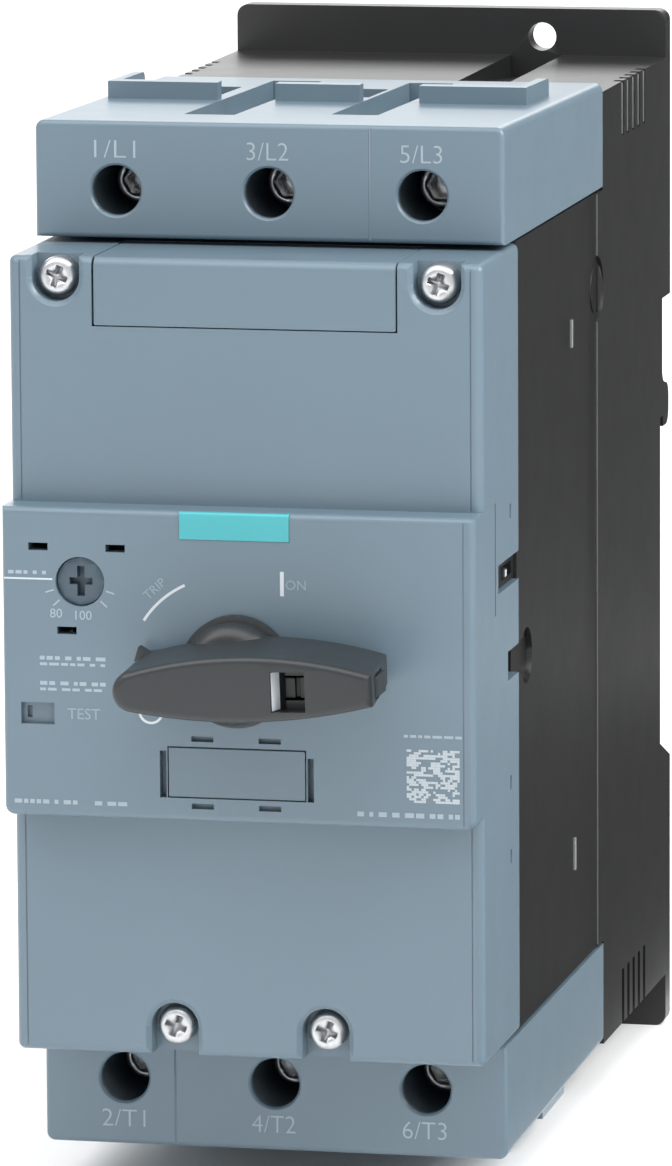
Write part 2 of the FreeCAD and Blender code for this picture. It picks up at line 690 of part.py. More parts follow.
def make_handle():
    """Grip, domed hub and pointer in one moulding, with the lock slide's tunnel."""
    grip = Part.makeLoft([grip_section(handle_front, 0, grip_end, 2.3),
                          grip_section(grip_back, 0.5, grip_end - 1.1, 1.5)], True, True)
    front_edges = [e for e in grip.Edges
                   if near(e.BoundBox.YMin, handle_front) and near(e.BoundBox.YMax, handle_front)]
    grip = grip.makeFillet(1.0, front_edges)
    disc = rod_y(axis_x, axis_z, hub_r, panel_front - 1.6, panel_front - gap)
    dome = rod_y(axis_x, axis_z, dome_r, panel_front - 6.2, panel_front - gap)
    rim = [e for e in dome.Edges
           if isinstance(e.Curve, Part.Circle) and near(e.CenterOfMass.y, panel_front - 6.2)]
    dome = dome.makeFillet(2.6, rim)
    pointer = slab_xz([
        (axis_x - 14.4, axis_z + 2.0), (axis_x - 13.7, axis_z + 4.1), (axis_x - 12.5, axis_z + 3.3),
        (axis_x - 6, axis_z + 3.8), (axis_x - 6, axis_z + 1.0),
    ], -160.6, -158.6)
    handle = fuse(grip, disc, dome, pointer)
    ramp_x, recess_half = axis_x + lock_recess[0], 2.9
    recess = slab_xy([
        (ramp_x, handle_front - 1), (ramp_x, handle_front + 0.2), (ramp_x + 1.4, recess_back),
        (axis_x + lock_recess[1], recess_back), (axis_x + lock_recess[1], handle_front - 1),
    ], axis_z - recess_half, axis_z + recess_half)
    tunnel = box(ramp_x, axis_x + grip_end + 1, recess_back - 0.1, -165.7, axis_z - 1.8, axis_z + 1.8)
    shaft_seat = rod_y(axis_x, axis_z, shaft_r, -166, -150)
    return tilted(handle.cut([shaft_seat, recess, tunnel]))


def make_lock_slide():
    """Padlock tongue that pulls out of the handle's end; its eye is for the shackle."""
    x0, x1 = axis_x + lock_recess[0] + 0.4, axis_x + grip_end
    tongue = box(x0, x1, recess_back + 0.2, -166.0, axis_z - 1.5, axis_z + 1.5)
    eye = rod_z(axis_x + 19.6, -169.0, 2.0, axis_z - 3, axis_z + 3)
    grip_line = box(x0 + 2.4, x0 + 3.0, -173, -171.4, axis_z - 3, axis_z + 3)
    return tilted(tongue.cut([eye, grip_line]))


def make_handle_shaft():
    return rod_y(axis_x, axis_z, shaft_r, -166, -112)


def make_drive_cam():
    """Disc on the inner end of the shaft with the crank pin of the contact drive."""
    disc = rod_y(axis_x, axis_z, 10.0, -115.6, -112)
    disc = disc.cut(rod_y(axis_x, axis_z, shaft_r, -116, -111))
    return fuse(disc, rod_y(axis_x + 7.0, axis_z, 1.5, -112.5, -106))


def make_setting_dial():
    face = rod_y(dial_x, dial_z, dial_r, panel_front + 0.7, -150)
    collar = rod_y(dial_x, dial_z, dial_r + 1.0, panel_front + wall + gap, -152.4)
    slots = [
        box(dial_x - 0.55, dial_x + 0.55, panel_front, panel_front + 2.4, dial_z - 2.2, dial_z + 2.2),
        box(dial_x - 1.7, dial_x + 1.7, panel_front, panel_front + 2.4, dial_z - 0.5, dial_z + 0.5),
    ]
    return fuse(face, collar).cut(slots)


def make_test_slide():
    """Plate behind the test window with a notch for a screwdriver's tip."""
    x0, x1, front, back = test_plate
    notch_x, notch_w, notch_half, notch_depth = x0 + 1.6, 0.6, 0.8, 0.8
    plate = box(x0, x1, front, back, test_z - 2.8, test_z + 2.8)
    return plate.cut(box(notch_x, notch_x + notch_w, front - 1, front + notch_depth,
                         test_z - notch_half, test_z + notch_half))


def make_coupling_slider():
    """Stub that passes the switch position to an accessory clipped to the side."""
    stub = box(29.5, half_w - 0.4, -133.4, -131.8, 11.4, 12.8)
    return fuse(stub, box(28.0, 30.0, -134.6, -124.0, 8.0, 16.0))


def make_rail_latch():
    """Sprung bar whose upper end sits behind the rail's lower edge."""
    top, low = -16.2, -81.5
    bar = box(-latch_half, latch_half, lip_front + 0.1, -2.0, low, top)
    window = box(-2.4, 2.4, -8, 0, latch_spring_seat - 4.6, -36.0)
    pull_eye = box(-4, 4, -8, 0, -79.0, -75.0)
    return bar.cut([window, pull_eye])


def make_latch_spring():
    return make_coil_spring(0, -4.2, latch_spring_seat + 0.35, V(0, 0, 1), 13.3, 6, 1.45, 0.5)


# ---- write the nodes ----------------------------------------------------------------------
os.makedirs("parts", exist_ok=True)

save("rear_housing", make_rear_housing())
save("mid_housing", make_mid_housing())
save("front_cover", make_front_cover())
save("upper_terminal_block", make_terminal_block())
save("lower_terminal_block", make_lower_block())
save("accessory_flap", make_accessory_flap())
save("badge_plate", make_badge_plate())
save("legend_plate", make_legend_plate())
save("cover_screws", make_cover_screws())
save("mechanism_frame", make_mechanism_frame())
save("contact_carrier", make_carrier())
save("contact_springs", make_contact_springs())
save("magnet_cores", make_magnet_cores())
save("bimetal_strips", make_bimetals())
save("trip_bar", make_trip_bar())
save("rotary_handle", make_handle())
save("handle_shaft", make_handle_shaft())
save("drive_cam", make_drive_cam())
save("padlock_slide", make_lock_slide())
save("setting_dial", make_setting_dial())
save("test_slide", make_test_slide())
save("coupling_slider", make_coupling_slider())
save("rail_latch", make_rail_latch())
save("rail_latch_spring", make_latch_spring())

for number, pole in enumerate(poles, start=1):
    save("line_screw_%d" % number, make_terminal_screw(pole))
    save("line_clamp_%d" % number, make_clamp(pole))
    save("load_screw_%d" % number, to_lower(make_terminal_screw(-pole)))
    save("load_clamp_%d" % number, to_lower(make_clamp(-pole)))
    save("line_bar_%d" % number, make_line_bar(pole))
    save("load_bar_%d" % number, make_load_bar(pole))
    save("load_terminal_bar_%d" % number, make_load_terminal_bar(pole))
    save("contact_bridge_%d" % number, make_bridge(pole))
    save("arc_chute_%d" % number, make_arc_chute(pole))
    save("trip_coil_%d" % number, make_trip_coil(pole))
    save("trip_plunger_%d" % number, make_plunger(pole))
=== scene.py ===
import json
import math
import random

import bmesh
import bpy
from mathutils import Matrix, Vector


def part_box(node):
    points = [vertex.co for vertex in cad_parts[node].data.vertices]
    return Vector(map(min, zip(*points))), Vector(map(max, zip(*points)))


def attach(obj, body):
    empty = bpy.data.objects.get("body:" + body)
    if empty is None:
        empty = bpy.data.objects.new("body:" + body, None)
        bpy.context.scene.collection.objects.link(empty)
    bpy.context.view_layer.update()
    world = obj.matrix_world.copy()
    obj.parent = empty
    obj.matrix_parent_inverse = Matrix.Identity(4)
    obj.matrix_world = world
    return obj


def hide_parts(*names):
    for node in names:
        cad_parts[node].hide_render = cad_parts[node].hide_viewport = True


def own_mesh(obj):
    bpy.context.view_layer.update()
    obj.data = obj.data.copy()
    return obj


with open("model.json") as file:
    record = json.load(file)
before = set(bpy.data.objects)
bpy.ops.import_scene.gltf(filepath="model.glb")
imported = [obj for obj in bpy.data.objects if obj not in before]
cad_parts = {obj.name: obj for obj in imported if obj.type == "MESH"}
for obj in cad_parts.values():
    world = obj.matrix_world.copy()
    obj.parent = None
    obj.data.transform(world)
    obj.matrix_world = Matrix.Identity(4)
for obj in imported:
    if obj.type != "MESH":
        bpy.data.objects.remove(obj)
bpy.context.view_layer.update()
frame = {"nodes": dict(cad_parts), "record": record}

MM = 0.001
scene = bpy.context.scene
nodes = frame["nodes"]
random.seed(7)


def edges_mm(node):
    """Low and high corner of a CAD node, in millimetres."""
    low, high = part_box(node)
    return [v / MM for v in low], [v / MM for v in high]


# Places read from the CAD nodes, in millimetres.
PANEL_Y = edges_mm("front_cover")[0][1]
BLOCK_Y = edges_mm("upper_terminal_block")[0][1]
FLOOR_Z = edges_mm("rear_housing")[0][2]
HALF_W = edges_mm("rear_housing")[1][0]
SEAM_Y = edges_mm("rear_housing")[0][1]
POLES = [sum(edges[i][0] for i in (0, 1)) / 2
         for edges in (edges_mm("line_screw_%d" % n) for n in (1, 2, 3))]

# Values that no node's box gives, in millimetres, and in degrees for the tilt.
INK = 0.03                      # how far a printed mark stands out of its face, and reaches into it
AXIS_X, AXIS_Z = 0.0, 0.7       # handle axis
HANDLE_TILT = 2.0               # turn of the handle at rest
DIAL_X, DIAL_Z = -23.3, 13.0    # axis of the setting dial


# ---- materials ----------------------------------------------------------------------------
def new_material(name):
    mat = bpy.data.materials.new(name)
    mat.use_nodes = True
    tree = mat.node_tree
    tree.nodes.clear()
    out = tree.nodes.new("ShaderNodeOutputMaterial")
    shader = tree.nodes.new("ShaderNodeBsdfPrincipled")
    tree.links.new(shader.outputs[0], out.inputs[0])
    return mat, tree, shader


def noise(tree, scale, detail=2.0, stretch=None):
    """Noise in object space; scale is in cycles per metre."""
    coord = tree.nodes.new("ShaderNodeTexCoord")
    mapping = tree.nodes.new("ShaderNodeMapping")
    if stretch:
        mapping.inputs["Scale"].default_value = stretch
    tree.links.new(coord.outputs["Object"], mapping.inputs[0])
    tex = tree.nodes.new("ShaderNodeTexNoise")
    tex.inputs["Scale"].default_value = scale
    tex.inputs["Detail"].default_value = detail
    tree.links.new(mapping.outputs[0], tex.inputs["Vector"])
    return tex.outputs[0]


def spread(tree, value, low, high):
    """Maps a noise value to a range."""
    node = tree.nodes.new("ShaderNodeMapRange")
    node.inputs["From Min"].default_value = 0.3
    node.inputs["From Max"].default_value = 0.7
    node.inputs["To Min"].default_value = low
    node.inputs["To Max"].default_value = high
    tree.links.new(value, node.inputs["Value"])
    return node.outputs[0]


def tint(tree, value, first, second):
    ramp = tree.nodes.new("ShaderNodeValToRGB")
    ramp.color_ramp.elements[0].position = 0.3
    ramp.color_ramp.elements[0].color = (*first, 1)
    ramp.color_ramp.elements[1].position = 0.7
    ramp.color_ramp.elements[1].color = (*second, 1)
    tree.links.new(value, ramp.inputs[0])
    return ramp.outputs[0]


def bump(tree, shader, height, strength, distance):
    node = tree.nodes.new("ShaderNodeBump")
    node.inputs["Strength"].default_value = strength
    node.inputs["Distance"].default_value = distance
    tree.links.new(height, node.inputs["Height"])
    tree.links.new(node.outputs[0], shader.inputs["Normal"])


def shade(rgb, factor):
    return tuple(min(1.0, c * factor) for c in rgb)


def plastic(name, rgb, rough=0.45, grain=2600.0, depth=0.02, strength=0.35, vary=0.05, level=0.5,
            uneven=0.015):
    """Moulded plastic: spark-eroded grain, slow colour drift and uneven gloss."""
    mat, tree, shader = new_material(name)
    drift = noise(tree, 38.0, 4.0)
    tree.links.new(tint(tree, drift, shade(rgb, 1 - vary), shade(rgb, 1 + vary)),
                   shader.inputs["Base Color"])
    gloss = noise(tree, 160.0, 3.0)
    tree.links.new(spread(tree, gloss, rough - uneven, rough + uneven), shader.inputs["Roughness"])
    shader.inputs["Specular IOR Level"].default_value = level
    bump(tree, shader, noise(tree, grain, 2.0), strength, depth * MM)
    return mat


def metal(name, rgb, rough=0.3, stretch=(1, 1, 1), scale=900.0, vary=0.1, strength=0.2):
    """Metal with rolled or drawn lines along the axis that stretch leaves short."""
    mat, tree, shader = new_material(name)
    lines = noise(tree, scale, 3.0, stretch)
    tree.links.new(tint(tree, lines, shade(rgb, 1 - vary), shade(rgb, 1 + vary)),
                   shader.inputs["Base Color"])
    tree.links.new(spread(tree, noise(tree, 300.0, 3.0), rough - 0.08, rough + 0.1),
                   shader.inputs["Roughness"])
    shader.inputs["Metallic"].default_value = 1.0
    bump(tree, shader, lines, strength, 0.02 * MM)
    return mat


# Plastics: name, colour, roughness, grain per metre, grain depth in mm, bump strength, colour drift.
# Metals: name, colour, roughness, and how the lines are stretched along each axis.
BLUE_GREY = (0.115, 0.165, 0.203)
MATERIALS = {
    "black_housing": plastic("black_housing", (0.011, 0.0112, 0.0115), 0.36, 1900, 0.012, 0.25, 0.04),
    "cover_blue_grey": plastic("cover_blue_grey", BLUE_GREY, 0.3, 2600, 0.012, 0.25, 0.02),
    "handle_grey": plastic("handle_grey", (0.016, 0.019, 0.021), 0.34, 2400, 0.012, 0.3, 0.06),
    "badge_teal": plastic("badge_teal", (0.05, 0.34, 0.37), 0.3, 1500, 0.005, 0.15, 0.03),
    "legend_clear": plastic("legend_clear", shade(BLUE_GREY, 0.9), 0.22, 1500, 0.004, 0.15, 0.03),
    "dial_grey": plastic("dial_grey", (0.048, 0.078, 0.103), 0.4, 2600, 0.015, 0.3, 0.03),
    "zinc_steel": metal("zinc_steel", (0.52, 0.53, 0.54), 0.34),
    "terminal_steel": metal("terminal_steel", (0.8, 0.8, 0.81), 0.34),
    "frame_steel": metal("frame_steel", (0.5, 0.5, 0.51), 0.38),
    "copper": metal("copper", (0.78, 0.42, 0.27), 0.34, (1, 0.1, 1)),
    "coil_copper": metal("coil_copper", (0.55, 0.22, 0.09), 0.3),
    "bimetal": metal("bimetal", (0.6, 0.55, 0.47), 0.35, (1, 1, 0.1)),
    "spring_steel": metal("spring_steel", (0.55, 0.55, 0.57), 0.25),
    "insulation": plastic("insulation", (0.62, 0.58, 0.48), 0.5, 1500, 0.02, 0.3, 0.05),
    "latch_black": plastic("latch_black", (0.022, 0.023, 0.024), 0.4, 2000, 0.02, 0.3, 0.1),
}
# White ink for the panel marks, also used for the painted highlight on the handle's recess ramp.
WHITE_INK_AND_RAMP_HIGHLIGHT = plastic("white_ink_and_ramp_highlight", (0.50, 0.54, 0.57), 0.5, 3000, 0.004, 0.2, 0.06)
PALE_INK = plastic("pale_ink", (0.28, 0.34, 0.38), 0.5, 3000, 0.004, 0.2, 0.08)
# Ink of the pattern square, also used for the painted highlight on the coupling stub's end.
PATTERN_INK_AND_TIP_HIGHLIGHT = plastic("pattern_ink_and_tip_highlight", (0.40, 0.45, 0.48), 0.5, 3000, 0.004, 0.2, 0.06)
# Light grey of the snap tabs, also used for the painted highlights in the cooling slits.
VENT_HIGHLIGHT_AND_TAB_GREY = plastic("vent_highlight_and_tab_grey", (0.22, 0.225, 0.23), 0.5, 1900, 0.01, 0.2, 0.05)
# Painted highlight for the rear housing's edge along the seam.
SEAM_HIGHLIGHT = plastic("seam_highlight", (0.14, 0.142, 0.145), 0.4, 1900, 0.01, 0.2, 0.05)
# Faint ink for small print, also used for the painted highlight in the terminal blocks' partition
# groove.
FAINT_INK_AND_GROOVE_HIGHLIGHT = plastic("faint_ink_and_groove_highlight", (0.22, 0.28, 0.32), 0.5, 3000, 0.004, 0.2, 0.08)


# ---- CAD nodes ----------------------------------------------------------------------------
SOFT_EDGE = {                   # edge radius in millimetres
    "rear_housing": 0.3, "mid_housing": 0.15, "upper_terminal_block": 0.3,
    "lower_terminal_block": 0.3, "front_cover": 0.12, "accessory_flap": 0.2, "rotary_handle": 0.15,
    "padlock_slide": 0.25, "setting_dial": 0.15, "test_slide": 0.2, "badge_plate": 0.1,
    "legend_plate": 0.15, "coupling_slider": 0.2, "rail_latch": 0.4,
}
WELD_DISTANCE = 0.0005          # millimetres
BEVEL_ANGLE = 35                # degrees; flatter edges get no radius

# Nodes that don't look like their material slot.
NODE_MATERIAL = {"coupling_slider": "latch_black", "test_slide": "cover_blue_grey"}


def dress(node, slot_name):
    """Gives a CAD node its material, welded corners and a small edge radius."""
    obj = nodes[node]
    obj.data.materials.clear()
    obj.data.materials.append(MATERIALS[NODE_MATERIAL.get(node, slot_name)])
    for poly in obj.data.polygons:
        poly.material_index = 0
    weld = obj.modifiers.new("weld", "WELD")
    weld.merge_threshold = WELD_DISTANCE * MM
    if node in SOFT_EDGE:
        bevel = obj.modifiers.new("edge", "BEVEL")
        bevel.width = SOFT_EDGE[node] * MM
        bevel.segments = 2
        bevel.limit_method = "ANGLE"
        bevel.angle_limit = math.radians(BEVEL_ANGLE)
        bevel.use_clamp_overlap = True
        bevel.harden_normals = True
    obj.data.shade_smooth()
    normals = obj.modifiers.new("normals", "WEIGHTED_NORMAL")
    normals.keep_sharp = False
    normals.weight = 60


for row in frame["record"]["subparts"]:
    dress(row["node"], row["material_slot"])


# ---- printed marks ------------------------------------------------------------------------
class Print:
    """Collects flat marks, in (x, z) millimetres, and makes them one thin piece facing -Y."""

    def __init__(self, name, y, material):
        self.name, self.y, self.material = name, y, material
        self.mesh = bmesh.new()

    def shape(self, points):
        """One closed outline, thickened by the ink."""
        front = [self.mesh.verts.new((x, self.y - INK, z)) for x, z in points]
        back = [self.mesh.verts.new((x, self.y + INK, z)) for x, z in points]
        self.mesh.faces.new(front)
        self.mesh.faces.new(back[::-1])
        count = len(points)
        for i in range(count):
            j = (i + 1) % count
            self.mesh.faces.new((front[j], front[i], back[i], back[j]))

    def bar(self, x0, x1, z0, z1):
        self.shape([(x0, z0), (x1, z0), (x1, z1), (x0, z1)])

    def stroke(self, x0, z0, x1, z1, width):
        length = math.hypot(x1 - x0, z1 - z0)
        nx, nz = -(z1 - z0) / length * width / 2, (x1 - x0) / length * width / 2
        self.shape([(x0 - nx, z0 - nz), (x1 - nx, z1 - nz), (x1 + nx, z1 + nz), (x0 + nx, z0 + nz)])

    def arc(self, cx, cz, radius, width, start, end, steps=28):
        """A band from start to end degrees, anticlockwise from +X."""
        for i in range(steps):
            a = math.radians(start + (end - start) * i / steps)
            b = math.radians(start + (end - start) * (i + 1) / steps)
            inner, outer = radius - width / 2, radius + width / 2
            self.shape([
                (cx + inner * math.cos(a), cz + inner * math.sin(a)),
                (cx + outer * math.cos(a), cz + outer * math.sin(a)),
                (cx + outer * math.cos(b), cz + outer * math.sin(b)),
                (cx + inner * math.cos(b), cz + inner * math.sin(b)),
            ])

    def text(self, words, cx, cz, height, turn=0.0, width=None, thin=0.0):
        """Upright sans lettering centred at (cx, cz); height is the capital height."""
        curve = bpy.data.curves.new("lettering", "FONT")
        curve.body = words
        curve.align_x, curve.align_y = "CENTER", "CENTER"
        curve.resolution_u = 3
        curve.extrude = INK
        curve.offset = -thin
        holder = bpy.data.objects.new("lettering", curve)
        scene.collection.objects.link(holder)
        bpy.context.view_layer.update()
        mesh = bpy.data.meshes.new_from_object(holder)
        low_x, high_x = (f(v.co.x for v in mesh.vertices) for f in (min, max))
        low_y, high_y = (f(v.co.y for v in mesh.vertices) for f in (min, max))
        scale = height / (high_y - low_y)
        wide = scale if width is None else width / (high_x - low_x)
        centre = Vector(((low_x + high_x) / 2, (low_y + high_y) / 2, 0))
        place = (Matrix.Translation((cx, self.y, cz)) @ Matrix.Rotation(math.radians(-turn), 4, "Y")
                 @ Matrix.Rotation(math.radians(90), 4, "X")
                 @ Matrix.Diagonal((wide, scale, 1, 1)) @ Matrix.Translation(-centre))
        mesh.transform(place)
        self.mesh.from_mesh(mesh)
        bpy.data.objects.remove(holder)
        bpy.data.curves.remove(curve)
        bpy.data.meshes.remove(mesh)

    def dashes(self, x0, x1, z, height):
        """A row of plain dashes in place of small print."""
        x = x0
        while x < x1 - 0.4:
            length = min(random.uniform(0.5, 1.5), x1 - x)
            self.bar(x, x + length, z - height / 2, z + height / 2)
            x += length + random.choice((0.3, 0.3, 0.8))

    def piece(self, body):
        bmesh.ops.scale(self.mesh, vec=(MM, MM, MM), verts=self.mesh.verts)
        bmesh.ops.recalc_face_normals(self.mesh, faces=self.mesh.faces)
        data = bpy.data.meshes.new(self.name)
        self.mesh.to_mesh(data)
        self.mesh.free()
        obj = bpy.data.objects.new(self.name, data)
        data.materials.append(self.material)
        scene.collection.objects.link(obj)
        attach(obj, body)
        return obj


def terminal_marks():
    """Terminal numbers on the front of the two terminal blocks."""
    line_z, load_z, height, thin = 73.5, -71.2, 2.6, 0.012
    upper = Print("line_terminal_marks", BLOCK_Y, PALE_INK)
    lower = Print("load_terminal_marks", BLOCK_Y, PALE_INK)
    for i, x in enumerate(POLES):
        upper.text("%d/L%d" % (2 * i + 1, i + 1), x - 0.1, line_z, height, width=6.2, thin=thin)
        lower.text("%d/T%d" % (2 * i + 2, i + 1), x - 0.2, load_z, height, width=6.6, thin=thin)
    upper.piece("housing")
    lower.piece("housing")


SMALL_PRINT = (                 # rows of dashes on the panel: x from, x to, z, height
    (-34.0, -28.2, 14.2, 0.5),
    (-29.4, -19.6, 1.7, 0.55),
    (-29.4, -19.6, 0.8, 0.4),
    (-29.4, -19.6, -2.0, 0.55),
    (-29.4, -19.6, -2.9, 0.4),
    (-33.4, -24.0, -19.5, 0.6),
    (-21.4, -16.2, -19.5, 0.6),
    (17.6, 33.0, -19.7, 0.7),
    (24.5, 33.0, -8.1, 0.4),
)


def panel_marks():
    """Switch positions, dial scale, small print and the test mark on the control panel."""
    tick_from, tick_to, tick_width = 4.1, 5.4, 0.22      # radii from the dial's axis
    bright = Print("panel_marks", PANEL_Y, WHITE_INK_AND_RAMP_HIGHLIGHT)
    bright.bar(6.4, 6.95, 11.75, 15.3)                   # I mark
    bright.arc(-12.9, -5.7, 1.7, 0.36, 0, 360)           # O mark
    bright.arc(-1.5, -0.4, 14.7, 0.4, 115, 147)          # arc beside TRIP
    bright.bar(-34.6, -27.4, 13.15, 13.4)                # line left of the dial
    bright.piece("housing")
    pale = Print("panel_scale", PANEL_Y, PALE_INK)
    for degrees in (198, 222, 318, 342):
        a = math.radians(degrees)
        pale.stroke(DIAL_X + tick_from * math.cos(a), DIAL_Z + tick_from * math.sin(a),
                    DIAL_X + tick_to * math.cos(a), DIAL_Z + tick_to * math.sin(a), tick_width)
    pale.text("80", DIAL_X - 3.6, DIAL_Z - 4.7, 1.35)
    pale.text("100", DIAL_X + 0.5, DIAL_Z - 4.9, 1.35)
    for row in SMALL_PRINT:
        pale.dashes(*row)
    pale.piece("housing")
    faint = Print("panel_small_print", PANEL_Y, FAINT_INK_AND_GROOVE_HIGHLIGHT)
    faint.text("ON", 8.7, 13.4, 1.4)
    faint.text("TRIP", -12.2, 12.3, 1.3, turn=42)
    faint.text("TEST", -22.9, -6.4, 1.6)
    faint.piece("housing")


def pattern_square():
    """A neutral square of random cells; it encodes nothing."""
    square = Print("pattern_square", PANEL_Y, PATTERN_INK_AND_TIP_HIGHLIGHT)
    cells, size, gap, filled = 22, 7.8, 0.03, 0.6
    step = size / cells
    x0, z0 = 24.9, -17.8                                 # lower left corner
    for row in range(cells):
        column = 0
        while column < cells:
            run = random.choice((1, 1, 2, 3))
            if random.random() < filled:
                last = min(column + run, cells)
                square.bar(x0 + column * step, x0 + last * step - gap,
                           z0 + row * step, z0 + (row + 1) * step - gap)
            column += run
    square.piece("housing")


def small_blocks(name, boxes, material, body):
    """Small boxes given by two corners in millimetres, as one piece."""
    mesh = bmesh.new()
    for low_corner, high_corner in boxes:
        centre = [(a + b) / 2 for a, b in zip(low_corner, high_corner)]
        size = [b - a for a, b in zip(low_corner, high_corner)]
        place = Matrix.Translation(centre) @ Matrix.Diagonal((*size, 1))
        bmesh.ops.create_cube(mesh, size=1, matrix=place)
    mesh.transform(Matrix.Scale(MM, 4))
    data = bpy.data.meshes.new(name)
    mesh.to_mesh(data)
    mesh.free()
    data.materials.append(material)
    obj = bpy.data.objects.new(name, data)
    scene.collection.objects.link(obj)
    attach(obj, body)
    return obj


def painted_vent_highlights():
    """Painted highlights: light-grey faces on the rear walls of the cooling slits beside the top edge,
    standing in for the light the slit edges catch.
    """
    slits, first_y, pitch, opening = 5, -42.4, 4.57, 1.9
    inner_x, outer_x, low_z, high_z = 33.7, 34.85, 66.6, 74.6
    boxes = []
    for i in range(slits):
        back = first_y + pitch * i + opening
        for side in (1, -1):
            x0, x1 = sorted((side * inner_x, side * outer_x))
            boxes.append(((x0, back - 0.05, low_z), (x1, back - 0.01, high_z)))
    small_blocks("vent_highlights", boxes, VENT_HIGHLIGHT_AND_TAB_GREY, "housing")


def painted_seam_highlight():
    """Painted highlight: light strips standing in for the light caught by the rear housing's edge along
    the seam with the middle housing.
    """
    outer_inset, inner_inset = 0.05, 0.28
    spans = ((-57.4, 40.0), (50.2, 59.7))                # z from, z to; the witness ring is between
    boxes = []
    for side in (1, -1):
        x0, x1 = sorted((side * (HALF_W - outer_inset), side * (HALF_W - inner_inset)))
        for low_z, high_z in spans:
            boxes.append(((x0, SEAM_Y - 0.03, low_z), (x1, SEAM_Y + 0.02, high_z)))
    small_blocks("painted_seam_highlight", boxes, SEAM_HIGHLIGHT, "housing")


def painted_groove_highlights():
    """Painted highlight: faint-ink strips standing in for the light caught in the partition groove of
    the two terminal blocks.
    """
    left, right = 15.02, 15.2
    for name, low, high in (("upper_groove_highlight", 60.8, 77.2), ("lower_groove_highlight", -74.8, -58.4)):
        small_blocks(name, [((left, BLOCK_Y + 0.085, low), (right, BLOCK_Y + 0.118, high))],
                     FAINT_INK_AND_GROOVE_HIGHLIGHT, "housing")


def snap_tabs():
    """Light tabs standing in the slots of the middle housing's sides."""
    inner_x, outer_x = 34.05, 34.95
    tabs = ((-82.95, -82.05, 38.7, 42.9), (-80.95, -80.05, -42.0, -37.1))    # y from, to, z from, to
    boxes = []
    for side in (1, -1):
        x0, x1 = sorted((side * inner_x, side * outer_x))
        for y0, y1, z0, z1 in tabs:
            boxes.append(((x0, y0, z0), (x1, y1, z1)))
    small_blocks("snap_tabs", boxes, VENT_HIGHLIGHT_AND_TAB_GREY, "housing")


def painted_coupling_tip_highlight():
    """Painted highlight: a small light patch on the end of the dark coupling stub."""
    small_blocks("painted_coupling_tip_highlight", [((34.56, -133.2, 11.6), (34.63, -132.0, 12.6))],
                 PATTERN_INK_AND_TIP_HIGHLIGHT, "coupling_slider")


def painted_recess_highlight():
    """Painted highlight: a thin white face on the sloped left side of the handle's recess, standing in
    for the light the ramp reflects.
    """
    mesh = bmesh.new()
    ends = ((9.28, -175.7), (10.02, -173.67))            # x and y of the slope's two ends
    off = (0.05, -0.02)                                  # thickness of the face, in x and y
    half_height = 2.75
    rows = []
    for z in (AXIS_Z - half_height, AXIS_Z + half_height):
        rows.append([mesh.verts.new((x, y, z)) for x, y in ends]
                    + [mesh.verts.new((x + off[0], y + off[1], z)) for x, y in reversed(ends)])
    mesh.faces.new(rows[0])
    mesh.faces.new(rows[1][::-1])
    for i in range(4):
        j = (i + 1) % 4
        mesh.faces.new((rows[0][j], rows[0][i], rows[1][i], rows[1][j]))
    bmesh.ops.recalc_face_normals(mesh, faces=mesh.faces)
    pivot = Matrix.Translation((AXIS_X, 0, AXIS_Z))
    mesh.transform(Matrix.Scale(MM, 4) @ pivot
                   @ Matrix.Rotation(math.radians(-HANDLE_TILT), 4, "Y") @ pivot.inverted())
    data = bpy.data.meshes.new("painted_recess_highlight")
    mesh.to_mesh(data)
    mesh.free()
    data.materials.append(WHITE_INK_AND_RAMP_HIGHLIGHT)
    obj = bpy.data.objects.new("painted_recess_highlight", data)
    scene.collection.objects.link(obj)
    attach(obj, "handle")


def latch_spring():
    """Compression spring of the rail latch, with closed end turns."""
    low, high = edges_mm("rail_latch_spring")
    x, y = (low[0] + high[0]) / 2, (low[1] + high[1]) / 2
    wire, turns, steps, sides = 0.5, 8, 24, 10
    radius = (high[0] - low[0] - wire) / 2
    start, end = low[2] + wire / 2, high[2] - wire / 2
    open_pitch = (end - start - 2 * wire) / (turns - 2)
    mesh = bmesh.new()
    rings = []
    z = start
    for i in range(turns * steps + 1):
        turn = i / steps
        angle = 2 * math.pi * turn
        outward = Vector((math.cos(angle), math.sin(angle), 0))
        centre = Vector((x, y, z)) + outward * radius
        ring = []
        for k in range(sides):
            around = 2 * math.pi * k / sides
            offset = outward * math.cos(around) + Vector((0, 0, math.sin(around)))
            ring.append(mesh.verts.new(centre + offset * wire / 2))
        rings.append(ring)
        closed = turn < 1 or turn >= turns - 1
        z += (wire if closed else open_pitch) / steps
    for first, second in zip(rings, rings[1:]):
        for k in range(sides):
            j = (k + 1) % sides
            mesh.faces.new((first[k], first[j], second[j], second[k]))
    mesh.faces.new(rings[0])
    mesh.faces.new(rings[-1][::-1])
    bmesh.ops.recalc_face_normals(mesh, faces=mesh.faces)
    bmesh.ops.scale(mesh, vec=(MM, MM, MM), verts=mesh.verts)
    data = bpy.data.meshes.new("latch_spring")
    mesh.to_mesh(data)
    mesh.free()
    data.shade_smooth()
    data.materials.append(MATERIALS["spring_steel"])
    obj = bpy.data.objects.new("latch_spring", data)
    scene.collection.objects.link(obj)
    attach(obj, "housing")
    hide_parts("rail_latch_spring")
    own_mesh(obj)


terminal_marks()
panel_marks()
pattern_square()
latch_spring()
painted_vent_highlights()
painted_seam_highlight()
painted_groove_highlights()
snap_tabs()
painted_coupling_tip_highlight()
painted_recess_highlight()


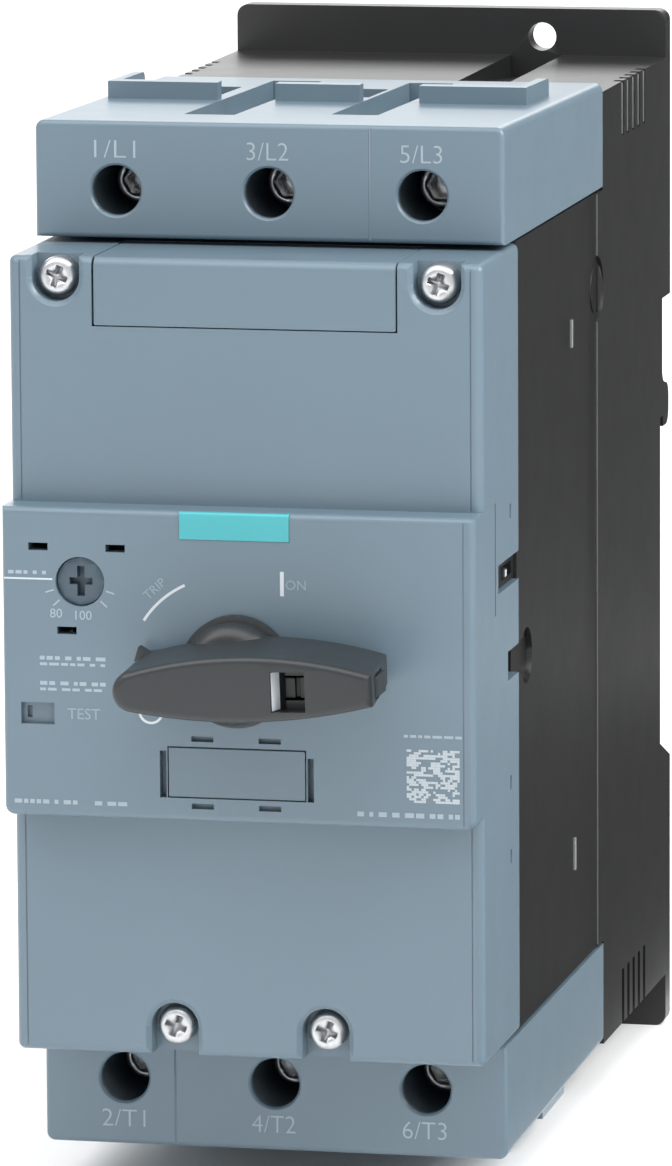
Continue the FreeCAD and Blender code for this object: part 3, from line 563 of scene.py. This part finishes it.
# ---- camera, light and floor --------------------------------------------------------------
def make_camera():
    """Long lens in front, a little to the right and above; angles in degrees, place in millimetres."""
    azimuth, elevation, roll = (math.radians(v) for v in (12.507, 9.171, -0.3446))
    back = Vector((math.sin(azimuth) * math.cos(elevation),
                   -math.cos(azimuth) * math.cos(elevation), math.sin(elevation)))
    right = Vector((math.cos(azimuth), math.sin(azimuth), 0))
    up = back.cross(right)
    turned_right = right * math.cos(roll) + up * math.sin(roll)
    turned_up = up * math.cos(roll) - right * math.sin(roll)
    data = bpy.data.cameras.new("camera")
    data.lens = 263.95
    data.sensor_width = 36
    data.clip_start, data.clip_end = 0.05, 30
    camera = bpy.data.objects.new("camera", data)
    place = Matrix((turned_right, turned_up, back)).transposed().to_4x4()
    place.translation = Vector((277.17, -1340.48, 209.63)) * MM
    camera.matrix_world = place
    scene.collection.objects.link(camera)
    scene.camera = camera


def area_light(name, place, target, size, power):
    """Rectangular white lamp; places and size in metres, power in watts."""
    data = bpy.data.lights.new(name, "AREA")
    data.shape = "RECTANGLE"
    data.size, data.size_y = size
    data.energy = power
    light = bpy.data.objects.new(name, data)
    light.location = place
    light.rotation_euler = (Vector(target) - Vector(place)).to_track_quat("-Z", "Y").to_euler()
    scene.collection.objects.link(light)


def make_world():
    """White studio surround, brighter overhead."""
    world = bpy.data.worlds.new("studio")
    world.use_nodes = True
    tree = world.node_tree
    tree.nodes.clear()
    out = tree.nodes.new("ShaderNodeOutputWorld")
    back = tree.nodes.new("ShaderNodeBackground")
    coord = tree.nodes.new("ShaderNodeTexCoord")
    split = tree.nodes.new("ShaderNodeSeparateXYZ")
    ramp = tree.nodes.new("ShaderNodeValToRGB")
    ramp.color_ramp.elements[0].position = 0.0
    ramp.color_ramp.elements[0].color = (0.95, 0.96, 0.98, 1)
    ramp.color_ramp.elements[1].position = 0.9
    ramp.color_ramp.elements[1].color = (1, 1, 1, 1)
    tree.links.new(coord.outputs["Generated"], split.inputs[0])
    tree.links.new(split.outputs["Z"], ramp.inputs[0])
    tree.links.new(ramp.outputs[0], back.inputs["Color"])
    back.inputs["Strength"].default_value = 0.93
    tree.links.new(back.outputs[0], out.inputs[0])
    scene.world = world


def make_floor():
    bpy.ops.mesh.primitive_plane_add(size=12, location=(0, 0, FLOOR_Z * MM))
    floor = bpy.context.object
    floor.name = "floor"
    mat, tree, shader = new_material("floor")
    tree.links.new(tint(tree, noise(tree, 2.0, 2.0), (0.95, 0.95, 0.95), (0.96, 0.96, 0.96)),
                   shader.inputs["Base Color"])
    shader.inputs["Roughness"].default_value = 1.0
    shader.inputs["Specular IOR Level"].default_value = 0.0
    floor.data.materials.append(mat)


def make_flags():
    """Two dark cards, one standing behind at the right and one lying at the right.

    Only reflections see them, and they keep the right side from washing out.
    """
    mat, tree, shader = new_material("flag")
    tree.links.new(tint(tree, noise(tree, 8.0, 2.0), (0.02, 0.02, 0.02), (0.03, 0.03, 0.03)),
                   shader.inputs["Base Color"])
    shader.inputs["Roughness"].default_value = 0.9
    standing = ((0.76, 0.34, 0.02), (1.4, 0.66), math.radians(90))
    lying = ((0.69, -0.03, FLOOR_Z * MM + 0.001), (1.3, 0.7), 0.0)
    for place, size, tip in (standing, lying):
        bpy.ops.mesh.primitive_plane_add(size=1, location=place)
        card = bpy.context.object
        card.name = "flag"
        card.scale = (*size, 1)
        card.rotation_euler = (tip, 0, 0)
        card.data.materials.append(mat)
        card.visible_camera = False
        card.visible_diffuse = False
        card.visible_shadow = False


make_camera()
make_world()
make_floor()
scene.view_settings.view_transform = "Standard"
area_light("overhead", (-0.1, -0.5, 0.85), (0, -0.08, 0), (1.2, 0.8), 6.5)
area_light("front_left", (-0.9, -0.9, 0.9), (0, -0.1, 0), (0.6, 0.7), 2.8)
area_light("right_side", (1.0, -0.2, 0.75), (0, -0.08, 0.03), (0.6, 0.7), 16)
area_light("rear_wash", (-0.45, 1.9, 0.95), (0, -0.08, 0.05), (2.4, 0.8), 16)
make_flags()
